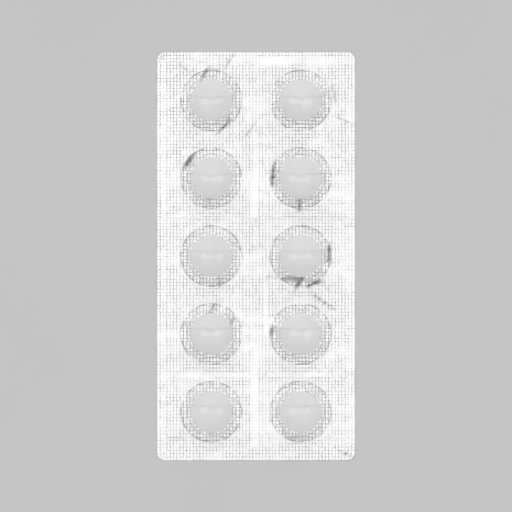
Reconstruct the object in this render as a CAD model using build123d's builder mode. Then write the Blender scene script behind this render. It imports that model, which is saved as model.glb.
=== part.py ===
from build123d import *
import os
from math import cos, radians, tan
from typing import NamedTuple

# A push-through blister pack for ten round tablets: a clear formed film with two columns of five
# pockets, a flat lidding foil sealed to the film's underside, and one loose tablet in each pocket.
#
# Frame, in millimetres: X across the card, Y along it, Z up. The origin is the middle of the
# foil's underside, the face that the pack lies on. The pockets stand up from the card.

# --- Driving dimensions -------------------------------------------------------------------------

# Layout of the card
rows = 5
row_web = 4.0  # flat web between neighbouring pockets, along the card
column_web = 6.75  # flat web between the two columns of pockets
side_margin = 5.65  # flat margin from a pocket's foot to the card's long edge
end_margin = 4.25  # flat margin from a pocket's foot to the card's short edge
corner_radius = 1.8

# Tablet: round and biconvex, with a straight band
tablet_diameter = 10.0
tablet_band = 1.9  # height of the straight band
tablet_rise = 1.15  # how far each domed face stands above the band
tablet_edge = 0.18  # rounding where a face meets the band

# Pocket, measured from the tablet that it holds
side_clearance = 0.75  # between the tablet's band and the pocket's shoulder
head_clearance = 0.3  # between the tablet's top and the pocket's crown
crown_rise = 0.35  # doming of the pocket's crown
draft = 14.5  # lean of the pocket's wall from upright, in degrees
pocket_wall = 0.18  # the film thins as it is drawn into the pocket
shoulder_blend = 0.9  # outer rounding between crown and wall
foot_blend = 0.35  # outer rounding between wall and flat web

# Sheets
film_thickness = 0.25  # formed film, where it is flat
foil_thickness = 0.03  # aluminium foil with its lacquers

# Small gaps and overlaps
seat_clearance = 0.02  # under the loose tablet, above the foil
cutter_reach = 0.5  # how far a cavity's cutter runs out below the film

# --- Worked-out dimensions ----------------------------------------------------------------------

lean = tan(radians(draft))
run_out = tan(radians((90 - draft) / 2))  # reach along the web of a foot blend of radius 1

web_bottom = foil_thickness
web_top = web_bottom + film_thickness
tablet_bottom = web_bottom + seat_clearance
tablet_top = tablet_bottom + tablet_band + 2 * tablet_rise
cavity_top = tablet_top + head_clearance
pocket_top = cavity_top + pocket_wall

cavity_shoulder = tablet_diameter / 2 + side_clearance
# The outer wall runs parallel to the inner one, one wall thickness away.
pocket_shoulder = cavity_shoulder + pocket_wall * (1 / cos(radians(draft)) - lean)


class PocketForm(NamedTuple):
    """A round form with a shallow crown, a leaning wall and a blended foot."""

    shoulder: float  # radius of the crown's edge
    top: float  # height of the crown's middle
    base: float  # level at which the foot runs out
    crown_blend: float
    web_blend: float

    @property
    def shoulder_point(self):
        return self.shoulder, self.top - crown_rise

    @property
    def foot_point(self):
        height, radius = self.base, self.shoulder + (self.top - crown_rise - self.base) * lean
        return radius, height

    @property
    def rim_radius(self):
        """Radius at which the blended foot has run out flat."""
        return self.foot_point[0] + self.web_blend * run_out


outside = PocketForm(pocket_shoulder, pocket_top, web_top, shoulder_blend, foot_blend)
cavity = PocketForm(
    cavity_shoulder,
    cavity_top,
    web_bottom,
    shoulder_blend - pocket_wall,
    foot_blend + film_thickness,
)

pocket_diameter = 2 * outside.rim_radius
column_pitch = pocket_diameter + column_web
row_pitch = pocket_diameter + row_web
card_width = column_pitch + pocket_diameter + 2 * side_margin
card_length = (rows - 1) * row_pitch + pocket_diameter + 2 * end_margin


# --- Places -------------------------------------------------------------------------------------


def pocket_places():
    """Name and centre of every pocket, row by row from the card's far end."""
    for row in range(rows):
        y = ((rows - 1) / 2 - row) * row_pitch
        yield f"row{row + 1}_left", -column_pitch / 2, y
        yield f"row{row + 1}_right", column_pitch / 2, y


def section_plane(x, y):
    """Upright plane through a pocket's centre line: local X to the right, local Y up."""
    return Plane(origin=(x, y, 0), x_dir=(1, 0, 0), z_dir=(0, -1, 0))


def centre_line(x, y):
    return Axis((x, y, 0), (0, 0, 1))


# --- Sections -----------------------------------------------------------------------------------


def pocket_section(plane, form, bottom):
    """Half section of a pocket form, filled in down to the given level."""
    with BuildSketch(plane) as section:
        with BuildLine():
            crown = TangentArc((0, form.top), form.shoulder_point, tangent=(1, 0))
            Polyline(
                crown @ 1,
                form.foot_point,
                (form.rim_radius, form.base),
                (form.rim_radius, bottom),
                (0, bottom),
                crown @ 0,
            )
        make_face()
        shoulder_corner = section.vertices().sort_by_distance(form.shoulder_point)[0]
        foot_corner = section.vertices().sort_by_distance(form.foot_point)[0]
        fillet(shoulder_corner, radius=form.crown_blend)
        fillet(foot_corner, radius=form.web_blend)
    return section.sketch


def tablet_section(plane):
    """Half section of a tablet, from its centre line out to its band."""
    radius = tablet_diameter / 2
    with BuildSketch(plane) as section:
        with BuildLine():
            lower = TangentArc(
                (0, tablet_bottom), (radius, tablet_bottom + tablet_rise), tangent=(1, 0)
            )
            upper = TangentArc((0, tablet_top), (radius, tablet_top - tablet_rise), tangent=(1, 0))
            Line(lower @ 1, upper @ 1)
            Line(lower @ 0, upper @ 0)
        make_face()
        band_corners = section.vertices().group_by(Axis.X)[-1]
        fillet(band_corners, radius=tablet_edge)
    return section.sketch


def card_outline():
    """The card's outline, drawn in the current sketch."""
    RectangleRounded(card_width, card_length, corner_radius)


# --- Lidding foil: one flat sheet ---------------------------------------------------------------

with BuildPart() as lidding_foil:
    with BuildSketch(Plane.XY):
        card_outline()
    extrude(amount=foil_thickness)
lidding_foil.part.label = "lidding_foil"

# --- Blister film: one sheet, formed into pockets -----------------------------------------------

with BuildPart() as blister_film:
    with BuildSketch(Plane.XY.offset(web_bottom)):
        card_outline()
    extrude(amount=film_thickness)
    for _, x, y in pocket_places():
        add(pocket_section(section_plane(x, y), outside, bottom=web_bottom))
        revolve(axis=centre_line(x, y))
    for _, x, y in pocket_places():
        add(pocket_section(section_plane(x, y), cavity, bottom=web_bottom - cutter_reach))
        revolve(axis=centre_line(x, y), mode=Mode.SUBTRACT)
blister_film.part.label = "blister_film"

# --- Tablets: one loose tablet in each pocket ---------------------------------------------------


def make_tablet(place, x, y):
    with BuildPart() as tablet:
        add(tablet_section(section_plane(x, y)))
        revolve(axis=centre_line(x, y))
    tablet.part.label = f"tablet_{place}"
    return tablet.part


tablets = [make_tablet(place, x, y) for place, x, y in pocket_places()]

# --- Files --------------------------------------------------------------------------------------

os.makedirs("parts", exist_ok=True)
for piece in [lidding_foil.part, blister_film.part, *tablets]:
    export_step(piece, f"parts/{piece.label}.step")

print(f"card {card_width:.2f} x {card_length:.2f}, height {pocket_top:.2f}")
print(f"pitch {column_pitch:.2f} across, {row_pitch:.2f} along, pocket {pocket_diameter:.2f}")
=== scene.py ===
from typing import NamedTuple

import bmesh
import bpy
import numpy as np
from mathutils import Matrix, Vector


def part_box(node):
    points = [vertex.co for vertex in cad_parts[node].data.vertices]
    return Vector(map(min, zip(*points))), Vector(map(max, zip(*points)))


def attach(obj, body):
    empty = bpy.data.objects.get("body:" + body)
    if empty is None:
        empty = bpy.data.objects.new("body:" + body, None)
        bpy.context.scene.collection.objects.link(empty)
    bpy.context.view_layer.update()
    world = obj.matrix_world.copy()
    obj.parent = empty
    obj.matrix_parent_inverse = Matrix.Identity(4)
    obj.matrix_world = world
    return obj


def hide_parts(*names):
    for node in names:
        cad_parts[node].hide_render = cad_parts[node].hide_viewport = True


# A push-through blister pack on a pale floor, seen from straight above. The clear film and the
# tablets are the CAD nodes with finished materials. The foil is a knurled and creased mesh that
# stands for the CAD node lidding_foil. The knurl and the folds are pushed up from below, so from
# above they are ridges. Lengths are in metres where nothing says mm, from the card's middle.

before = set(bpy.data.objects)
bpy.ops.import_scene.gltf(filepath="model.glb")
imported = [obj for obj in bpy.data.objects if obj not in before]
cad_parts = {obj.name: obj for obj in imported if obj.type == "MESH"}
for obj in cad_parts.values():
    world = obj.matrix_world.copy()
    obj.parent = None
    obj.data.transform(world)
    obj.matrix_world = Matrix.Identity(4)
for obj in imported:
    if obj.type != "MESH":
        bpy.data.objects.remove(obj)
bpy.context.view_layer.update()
rng = np.random.default_rng(20261)

MM = 0.001

# --- Sizes from the frame -----------------------------------------------------------------------

FOIL_LOW, FOIL_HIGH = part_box("lidding_foil")
HALF_WIDTH = (FOIL_HIGH.x - FOIL_LOW.x) / 2
HALF_LENGTH = (FOIL_HIGH.y - FOIL_LOW.y) / 2
TABLET_NAMES = sorted(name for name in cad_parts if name.startswith("tablet_"))


def middle(node):
    low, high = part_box(node)
    return (low + high) / 2


POCKETS = {name.removeprefix("tablet_"): middle(name) for name in TABLET_NAMES}
COLUMN = max(place.x for place in POCKETS.values())
ROW_PITCH = POCKETS["row1_left"].y - POCKETS["row2_left"].y
LAST_ROW = round(POCKETS["row1_left"].y / ROW_PITCH)  # rows are counted from the middle one

# --- Foil: knurl --------------------------------------------------------------------------------

CORNER_RADIUS = 1.8 * MM  # of the card
POCKET_RADIUS = 7.2 * MM  # where the film leaves the foil
CELLS = (60, 124)  # knurl cells across and along the card
RIDGE = 0.085 * MM  # height of the knurl's crossings over its pads
RIDGE_SHARE = 0.27  # share of a cell that a ridge takes
LINE_HEIGHT = 0.64  # height of a ridge between two crossings, as a share of a crossing's
PAD_TOP = 0.045 * MM  # a little over the film's underside, as the foil is sealed into it
PAD_BOTTOM = 0.004 * MM
SEALED_TOP = 0.25 * MM  # the foil stays under this outside the pockets, where the film ends at 0.28 mm
SEALED_STRENGTH = 0.78  # of the knurl outside the pockets, where the film is sealed to it
FAINTEST_STRENGTH = 0.08
POCKET_STRENGTH = 1.05
TABLET_CONTACT = (1.2 * MM, 2.2 * MM)  # the knurl fades out between these, under the tablet's belly


class Band(NamedTuple):
    """A straight lane that the knurling tool left plain: its middle and half sizes, in mm."""

    x: float
    y: float
    half_width: float
    half_length: float


PLAIN_BANDS = [
    Band(-0.3, 19.2, 0.4, 10.0),
    Band(-0.3, -33.0, 0.4, 12.0),
    Band(2.2, -12.0, 0.2, 6.5),
    Band(-9.0, 24.6, 8.0, 0.2),
    Band(-11.0, -28.2, 11.0, 0.4),
    Band(12.0, -28.2, 9.0, 0.2),
    Band(8.0, 46.2, 14.5, 0.7),
    Band(1.5, -15.2, 4.0, 0.3),
    Band(-22.0, 0.0, 0.1, 46.0),
    Band(22.3, 0.0, 0.1, 46.0),
]
BAND_EDGE = 0.5  # mm over which the knurl comes back beside a lane
SCORE_LINES = [9.2, -43.0]  # mm along the card: faint pressed lines across its whole width
SCORE_STRENGTH = 0.5


def smooth_step(value, low, high):
    t = np.clip((value - low) / (high - low), 0, 1)
    return t * t * (3 - 2 * t)


def pocket_distance(x, y):
    """Distance to the nearest pocket's middle."""
    gaps = [np.hypot(x - place.x, y - place.y) for place in POCKETS.values()]
    return np.min(gaps, axis=0)


class Patches:
    """Smooth random patches of about one size, drawn once, so that both sides of the foil agree."""

    def __init__(self, size, count=5):
        self.turns, self.starts = rng.uniform(0, 2 * np.pi, (2, count))
        self.lengths = size * rng.uniform(0.7, 1.6, count)

    def at(self, x, y):
        """How strong the patches are at each place, 0 to 1."""
        total = np.zeros_like(x)
        for turn, start, length in zip(self.turns, self.starts, self.lengths):
            total += np.sin((x * np.cos(turn) + y * np.sin(turn)) * np.pi / length + start)
        return 0.5 + 0.5 * np.tanh(total / np.sqrt(len(self.turns)))


BROAD_WEAR = Patches(6 * MM)
FINE_WEAR = Patches(1.6 * MM)
LANE_WEAR = Patches(5 * MM)
SCORE_WEAR = Patches(4 * MM)
SLACK_LIFT = Patches(3 * MM)
SLACK_WAVES = Patches(1.4 * MM)
CROSSINGS = (CELLS[1] + 1, CELLS[0] + 1)
KNURL_JITTER = rng.uniform(0.75, 1.2, CROSSINGS)
FOLD_JITTER = rng.uniform(0.4, 1.1, CROSSINGS)


def plain_share(x, y):
    """1 in the lanes without knurl, 0 away from them."""
    share = np.zeros_like(x)
    for band in PLAIN_BANDS:
        across = np.abs(x / MM - band.x) - band.half_width
        along = np.abs(y / MM - band.y) - band.half_length
        share = np.maximum(share, 1 - smooth_step(np.maximum(across, along), 0, BAND_EDGE))
    return share


def knurl_strength(x, y):
    """How strongly the knurl is pressed at each place, from 0 to POCKET_STRENGTH."""
    sealed = SEALED_STRENGTH * (0.4 + 0.5 * BROAD_WEAR.at(x, y) + 0.45 * FINE_WEAR.at(x, y))
    sealed *= 1 - plain_share(x, y) * (0.25 + 0.55 * LANE_WEAR.at(x, y))
    from_pocket = pocket_distance(x, y)
    sealed = np.clip(sealed, FAINTEST_STRENGTH, 1)
    strength = np.where(from_pocket < POCKET_RADIUS, POCKET_STRENGTH, sealed)
    return strength * smooth_step(from_pocket, *TABLET_CONTACT)


# --- Foil: creases ------------------------------------------------------------------------------


class Crease(NamedTuple):
    """A fold in the foil: its two ends from a pocket's middle, and its sizes, all in mm."""

    pocket: str
    start: tuple
    end: tuple
    half_width: float
    height: float


CREASES = [
    Crease("row1_left", (-2.6, 4.6), (-0.6, 8.2), 0.45, 0.22),
    Crease("row1_left", (3.4, 7.8), (5.0, 10.6), 0.35, 0.11),
    Crease("row1_left", (-8.0, 8.8), (-5.0, 7.0), 0.4, 0.11),
    Crease("row1_left", (2.0, -7.3), (4.4, -4.6), 0.5, 0.22),
    Crease("row1_left", (8.0, -8.6), (10.4, -5.2), 0.35, 0.11),
    Crease("row1_right", (8.0, -3.6), (12.6, -5.8), 0.35, 0.13),
    Crease("row1_right", (7.4, 3.6), (8.6, -1.4), 0.4, 0.11),
    Crease("row2_left", (-6.6, 2.2), (-3.8, 6.2), 0.55, 0.26),
    Crease("row2_right", (-6.9, -1.4), (-6.1, 4.4), 0.5, 0.24),
    Crease("row2_right", (-0.4, -4.6), (-0.2, -7.6), 0.5, 0.22),
    Crease("row3_left", (1.6, -4.6), (2.0, -7.2), 0.4, 0.15),
    Crease("row3_right", (-8.0, -4.9), (5.6, -6.2), 0.4, 0.18),
    Crease("row3_right", (-1.4, -7.6), (0.6, -5.0), 0.6, 0.26),
    Crease("row3_right", (1.0, -7.4), (5.4, -5.6), 0.45, 0.2),
    Crease("row3_right", (1.8, -8.2), (8.4, -13.0), 0.4, 0.13),
    Crease("row3_right", (6.5, -1.0), (7.0, 3.4), 0.5, 0.22),
    Crease("row4_left", (-0.4, 5.2), (0.9, 7.2), 0.4, 0.15),
    Crease("row4_left", (4.4, 2.0), (5.4, 4.0), 0.45, 0.2),
    Crease("row4_right", (-7.2, -2.6), (-6.6, 2.6), 0.4, 0.13),
    Crease("row5_right", (9.4, -9.2), (12.2, -10.8), 0.35, 0.13),
]

FOLD_TAPER = 0.12  # a fold stops getting lower this share of its length from each end
FULL_FOLD = 0.14 * MM  # a fold this high gets the darkest painted shade that folds get
RIM_WIDTH = 0.8 * MM  # width over which the free foil lifts off inside a pocket's rim
SLACK_FREE = (1.5 * MM, 4 * MM)  # the slack grows between these, out from under the tablet
LIFT = 0.04 * MM  # most that the slack lifts the foil
WAVES = 0.03 * MM  # and most that its waves add


def crease_height(x, y):
    """Height that the folds add to the foil."""
    total = np.zeros_like(x)
    for crease in CREASES:
        place = POCKETS[crease.pocket]
        start = np.array(crease.start) * MM + (place.x, place.y)
        along = (np.array(crease.end) - crease.start) * MM
        share = ((x - start[0]) * along[0] + (y - start[1]) * along[1]) / (along @ along)
        share = np.clip(share, 0, 1)
        off = np.hypot(x - start[0] - share * along[0], y - start[1] - share * along[1])
        fade = np.sin(np.pi * np.clip(share, FOLD_TAPER, 1 - FOLD_TAPER)) ** 0.6
        total += crease.height * MM * fade * np.clip(1 - off / (crease.half_width * MM), 0, 1)
    return total


def slack_height(x, y):
    """The foil is free under the pockets: it lifts off inside each rim, unevenly, and lies in waves."""
    from_pocket = pocket_distance(x, y)
    lift = 1 - smooth_step(from_pocket, POCKET_RADIUS - RIM_WIDTH, POCKET_RADIUS)
    clear = smooth_step(from_pocket, *SLACK_FREE)
    return clear * lift * (LIFT * SLACK_LIFT.at(x, y) + WAVES * SLACK_WAVES.at(x, y))


# --- Foil: mesh ---------------------------------------------------------------------------------


class Side(NamedTuple):
    """How one side of the foil is meshed."""

    marks: list  # place of each mesh line in a knurl cell, and the ridge's height there
    level: float  # height of its pads
    relief: float  # share of the ridges, slack and folds that shows on it
    faces_up: bool


TOP = Side([(0.0, 1.0), (RIDGE_SHARE / 2, 0.0), (1 - RIDGE_SHARE / 2, 0.0)], PAD_TOP, 1.0, True)
UNDERSIDE = Side([(0.0, 1.0), (0.5, 0.0)], PAD_BOTTOM, 0.35, False)


def knurl_lines(count, half_size, marks):
    """The mesh lines along one side: their places, their ridge heights and their nearest ridges."""
    cells, shares = np.meshgrid(np.arange(count), [share for share, _ in marks], indexing="ij")
    steps = np.append((cells + shares).ravel(), count)
    heights = np.append(np.tile([height for _, height in marks], count), marks[0][1])
    return steps * 2 * half_size / count - half_size, heights, np.rint(steps).astype(int)


def round_corners(x, y):
    """Draw the square corners of a grid in to the card's rounded ones."""
    u = np.maximum(np.abs(x) - (HALF_WIDTH - CORNER_RADIUS), 0)
    v = np.maximum(np.abs(y) - (HALF_LENGTH - CORNER_RADIUS), 0)
    pull = np.maximum(u, v) / np.maximum(np.hypot(u, v), 1e-12)
    in_corner = (u > 0) & (v > 0)
    pull = np.where(in_corner, pull, 1)
    return x - np.sign(x) * u * (1 - pull), y - np.sign(y) * v * (1 - pull)


def shape_side(side):
    """Places of one side's vertices, and how high the knurl, as a share of RIDGE, and the fold are."""
    xs, ridge_x, near_x = knurl_lines(CELLS[0], HALF_WIDTH, side.marks)
    ys, ridge_y, near_y = knurl_lines(CELLS[1], HALF_LENGTH, side.marks)
    crossing = np.ix_(near_y, near_x)
    x, y = round_corners(*np.meshgrid(xs, ys))
    ridge_x, ridge_y = np.meshgrid(ridge_x, ridge_y)
    ridge = LINE_HEIGHT * np.maximum(ridge_x, ridge_y) + (1 - LINE_HEIGHT) * ridge_x * ridge_y
    score = np.zeros_like(ridge)
    for line in SCORE_LINES:
        score[np.abs(ys - line * MM).argmin()] = SCORE_STRENGTH
    score *= 0.4 + 0.6 * SCORE_WEAR.at(x, y)
    knurl = np.maximum(ridge * knurl_strength(x, y) * KNURL_JITTER[crossing], score)
    fold = crease_height(x, y) * FOLD_JITTER[crossing]
    z = side.level + side.relief * (RIDGE * knurl + slack_height(x, y) + fold)
    sealed = pocket_distance(x, y) > POCKET_RADIUS
    return x, y, np.where(sealed, np.minimum(z, SEALED_TOP), z), knurl, fold


def add_side(bm, side, knurl_layer, fold_layer):
    """Mesh one side of the foil in triangles."""
    x, y, z, knurl, fold = shape_side(side)
    verts = np.empty(x.shape, dtype=object)
    for place in np.ndindex(x.shape):
        verts[place] = bm.verts.new((x[place], y[place], z[place]))
        verts[place][knurl_layer] = knurl[place]
        verts[place][fold_layer] = fold[place] / FULL_FOLD
    for row, column in np.ndindex(x.shape[0] - 1, x.shape[1] - 1):
        corners = [
            verts[row, column],
            verts[row, column + 1],
            verts[row + 1, column + 1],
            verts[row + 1, column],
        ]
        # split along the steeper diagonal, so that ridges meet in mitres
        drops = [abs(corners[k][knurl_layer] - corners[k + 2][knurl_layer]) for k in (0, 1)]
        if drops[1] > drops[0]:
            corners = corners[1:] + corners[:1]
        for corner in (corners[:3], [corners[2], corners[3], corners[0]]):
            bm.faces.new(corner if side.faces_up else corner[::-1])


def build_foil():
    bm = bmesh.new()
    knurl_layer = bm.verts.layers.float.new("knurl")
    fold_layer = bm.verts.layers.float.new("fold")
    for side in (TOP, UNDERSIDE):
        add_side(bm, side, knurl_layer, fold_layer)
    bmesh.ops.bridge_loops(bm, edges=[edge for edge in bm.edges if len(edge.link_faces) == 1])
    mesh = bpy.data.meshes.new("foil")
    bm.to_mesh(mesh)
    bm.free()
    foil = bpy.data.objects.new("foil", mesh)
    bpy.context.scene.collection.objects.link(foil)
    return foil


# --- Materials ----------------------------------------------------------------------------------


class Tree:
    """Short names for the nodes of one material or world."""

    def __init__(self, owner):
        owner.use_nodes = True
        self.nodes = owner.node_tree.nodes
        self.links = owner.node_tree.links
        self.nodes.clear()

    def add(self, kind, **inputs):
        """A node with values or links on its inputs, named as on the node with _ for a space."""
        node = self.nodes.new(kind)
        for name, value in inputs.items():
            self.feed(node.inputs[name.replace("_", " ")], value)
        return node

    def feed(self, socket, value):
        if isinstance(value, bpy.types.NodeSocket):
            self.links.new(value, socket)
        else:
            socket.default_value = value

    def maths(self, operation, *values):
        node = self.add("ShaderNodeMath")
        node.operation = operation
        for socket, value in zip(node.inputs, values):
            self.feed(socket, value)
        return node.outputs[0]

    def place(self):
        """The place on the piece, in metres."""
        return self.add("ShaderNodeTexCoord").outputs["Object"]

    def noise(self, size, detail=2.0):
        """Noise from 0 to 1 with features of one size, fixed to the piece."""
        node = self.add("ShaderNodeTexNoise", Vector=self.place(), Scale=1 / size, Detail=detail)
        return node.outputs["Fac"]

    def attribute(self, name):
        node = self.add("ShaderNodeAttribute")
        node.attribute_name = name
        return node.outputs["Fac"]

    def between(self, share, low, high):
        """A number that goes from low to high with a share from 0 to 1."""
        return self.maths("MULTIPLY_ADD", share, high - low, low)

    def times(self, first, *others):
        for other in others:
            first = self.maths("MULTIPLY", first, other)
        return first

    def grey(self, shade):
        return self.add("ShaderNodeCombineColor", Red=shade, Green=shade, Blue=shade).outputs[0]

    def bump(self, height, depth):
        node = self.add("ShaderNodeBump", Height=height, Distance=depth, Strength=1.0)
        return node.outputs["Normal"]

    def step(self, value, low, high):
        """Smoothly from 0 at low to 1 at high."""
        node = self.add("ShaderNodeMapRange", Value=value, From_Min=low, From_Max=high)
        node.interpolation_type = "SMOOTHSTEP"
        return node.outputs["Result"]

    def mix(self, share, first, second):
        node = self.add("ShaderNodeMixShader", Fac=share)
        self.feed(node.inputs[1], first)
        self.feed(node.inputs[2], second)
        return node.outputs[0]

    def finish(self, surface, kind="ShaderNodeOutputMaterial"):
        self.add(kind, Surface=surface)


FREE_ROUGHNESS = 0.14  # under the pockets, where the foil kept its gloss
SEALED_ROUGHNESS = 0.29
RIM_START = POCKET_RADIUS - 0.3 * MM  # painted shade: a dark line runs from here, where the foil turns up ...
RIM_FULL = POCKET_RADIUS - 0.1 * MM
RIM_END = POCKET_RADIUS + 0.15 * MM  # ... to here, broken up along its length


def pocket_gap(tree):
    """Distance from the nearest pocket's middle, in the foil's material."""
    x, y, _ = tree.add("ShaderNodeSeparateXYZ", Vector=tree.place()).outputs
    across = tree.maths("SUBTRACT", tree.maths("ABSOLUTE", x), COLUMN)
    row = tree.maths("ROUND", tree.maths("DIVIDE", y, ROW_PITCH))
    row = tree.maths("MAXIMUM", tree.maths("MINIMUM", row, LAST_ROW), -LAST_ROW)
    along = tree.maths("MULTIPLY_ADD", row, -ROW_PITCH, y)
    return tree.maths("SQRT", tree.maths("ADD", tree.times(across, across), tree.times(along, along)))


def foil_material():
    material = bpy.data.materials.new("knurled_foil")
    tree = Tree(material)
    gap = pocket_gap(tree)
    inside = tree.step(gap, RIM_START, RIM_FULL)
    outside = tree.step(gap, RIM_END, POCKET_RADIUS)
    # painted shade: a dark line along each pocket's rim, broken up by noise, drawn in the base colour
    # over the real slack relief
    rim = tree.times(inside, outside, tree.step(tree.noise(2.5 * MM), 0.35, 0.6))
    gloss = tree.between(tree.step(gap, RIM_START, POCKET_RADIUS), FREE_ROUGHNESS, SEALED_ROUGHNESS)
    roughness = tree.times(tree.between(tree.noise(0.8 * MM), 0.9, 1.2), gloss)
    # painted shade: the knurl's ridges are real relief, and are also darkened in the base colour
    knurl = tree.maths("POWER", tree.maths("MINIMUM", tree.attribute("knurl"), 1.0), 1.8)
    # painted shade: the folds are real relief, and are also darkened in the base colour
    fold = tree.maths("MINIMUM", tree.attribute("fold"), 1.0)
    shade = tree.times(
        tree.between(tree.noise(3 * MM, 4.0), 0.95, 1.0),
        tree.between(knurl, 0.96, 0.28),
        tree.between(fold, 1.0, 0.3),
        tree.between(rim, 1.0, 0.45),
    )
    shader = tree.add(
        "ShaderNodeBsdfPrincipled",
        Metallic=1.0,
        Base_Color=tree.grey(shade),
        Roughness=roughness,
        Normal=tree.bump(tree.noise(0.12 * MM), 0.002 * MM),
    )
    tree.finish(shader.outputs[0])
    return material


CROWN_STRAIGHT = 0.3  # share of the light that the film lets straight through where it lies flat
WALL_STRAIGHT = 0.84  # the same in the steep walls, where it is drawn thin
FLAT_SLOPE, WALL_SLOPE = 0.92, 0.5  # upward part of the normal where each of the two holds


def film_material():
    material = bpy.data.materials.new("clear_film")
    tree = Tree(material)
    shader = tree.add(
        "ShaderNodeBsdfPrincipled",
        Base_Color=(1, 1, 1, 1),
        Roughness=tree.between(tree.noise(2 * MM, 4.0), 0.0, 0.012),
        IOR=1.53,
        Transmission_Weight=1.0,
        Normal=tree.bump(tree.noise(1.8 * MM), 0.008 * MM),
    )
    clear = tree.add("ShaderNodeBsdfTransparent").outputs[0]
    to_light = tree.add("ShaderNodeLightPath").outputs["Is Shadow Ray"]
    lit = tree.mix(to_light, shader.outputs[0], clear)
    normal = tree.add("ShaderNodeNewGeometry").outputs["Normal"]
    upright = tree.add("ShaderNodeSeparateXYZ", Vector=normal).outputs["Z"]
    steep = tree.step(tree.maths("ABSOLUTE", upright), FLAT_SLOPE, WALL_SLOPE)
    tree.finish(tree.mix(tree.between(steep, CROWN_STRAIGHT, WALL_STRAIGHT), lit, clear))
    return material


def tablet_material():
    material = bpy.data.materials.new("pressed_tablet")
    tree = Tree(material)
    shade = tree.between(tree.noise(0.6 * MM, 4.0), 0.70, 0.77)
    shader = tree.add(
        "ShaderNodeBsdfPrincipled",
        Base_Color=tree.grey(shade),
        Roughness=0.6,
        Normal=tree.bump(tree.noise(0.1 * MM, 3.0), 0.012 * MM),
    )
    tree.finish(shader.outputs[0])
    return material


def floor_material():
    material = bpy.data.materials.new("pale_floor")
    tree = Tree(material)
    shade = tree.between(tree.noise(40 * MM), 0.63, 0.66)
    shader = tree.add(
        "ShaderNodeBsdfPrincipled",
        Base_Color=tree.grey(shade),
        Roughness=0.8,
    )
    tree.finish(shader.outputs[0])
    return material


def paint(piece, material):
    piece.data.materials.clear()
    piece.data.materials.append(material)


# --- Pieces -------------------------------------------------------------------------------------

foil = build_foil()
paint(foil, foil_material())
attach(foil, "root")
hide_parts("lidding_foil")

paint(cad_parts["blister_film"], film_material())
tablet_white = tablet_material()
for name in TABLET_NAMES:
    paint(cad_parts[name], tablet_white)

# --- Floor and light ----------------------------------------------------------------------------

FLOOR_SIZE = 6.0

bpy.ops.mesh.primitive_plane_add(size=FLOOR_SIZE, location=(0, 0, 0))
floor = bpy.context.object
floor.name = "floor"
paint(floor, floor_material())


class Panel(NamedTuple):
    """A soft light on a ceiling one unit up, from one edge to the other across and along."""

    across: tuple
    along: tuple
    soft_across: float
    soft_along: float
    strength: float


PANELS = [
    Panel((-0.45, 0.45), (-0.12, 1.6), 0.6, 0.5, 0.455),  # the big overhead light
    Panel((-0.7, 0.7), (0.058, 2.0), 0.4, 0.012, 0.12),  # its brighter half
    Panel((-0.7, 0.7), (0.040, 0.050), 0.4, 0.008, -0.95),  # the dark joint between its halves
    Panel((-0.10, 0.10), (-0.028, 0.024), 0.012, 0.008, 1.0),  # a tube beside the joint
    Panel((-2.0, 2.0), (1.2, 8.0), 1.0, 0.8, 0.4),  # a window beyond the top edge
]
HORIZON_LIGHT = 0.56
ZENITH_LIGHT = 0.58


def build_studio():
    world = bpy.data.worlds.new("studio")
    bpy.context.scene.world = world
    tree = Tree(world)
    where = tree.add("ShaderNodeTexCoord").outputs["Generated"]
    x, y, z = tree.add("ShaderNodeSeparateXYZ", Vector=where).outputs
    up = tree.maths("MAXIMUM", z, 0.001)
    across = tree.maths("DIVIDE", x, up)
    along = tree.maths("DIVIDE", y, up)
    light = tree.between(up, HORIZON_LIGHT, ZENITH_LIGHT)
    for panel in PANELS:
        shape = 1.0
        for value, (low, high), soft in (
            (across, panel.across, panel.soft_across),
            (along, panel.along, panel.soft_along),
        ):
            shape = tree.times(
                shape,
                tree.step(value, low - soft, low),
                tree.step(value, high + soft, high),
            )
        light = tree.maths("MULTIPLY_ADD", shape, panel.strength, light)
    background = tree.add("ShaderNodeBackground", Color=(1, 1, 1, 1), Strength=light)
    tree.finish(background.outputs[0], "ShaderNodeOutputWorld")


build_studio()

# --- Camera -------------------------------------------------------------------------------------

CAMERA_HEIGHT = 3.0
VIEW_WIDTH = 0.1213  # width of the floor that the picture takes in


def build_camera():
    data = bpy.data.cameras.new("camera")
    data.sensor_width = 36
    data.lens = data.sensor_width * CAMERA_HEIGHT / VIEW_WIDTH
    camera = bpy.data.objects.new("camera", data)
    camera.location = (0, 0, CAMERA_HEIGHT)
    bpy.context.scene.collection.objects.link(camera)
    bpy.context.scene.camera = camera


build_camera()
bpy.context.scene.view_settings.view_transform = "Standard"
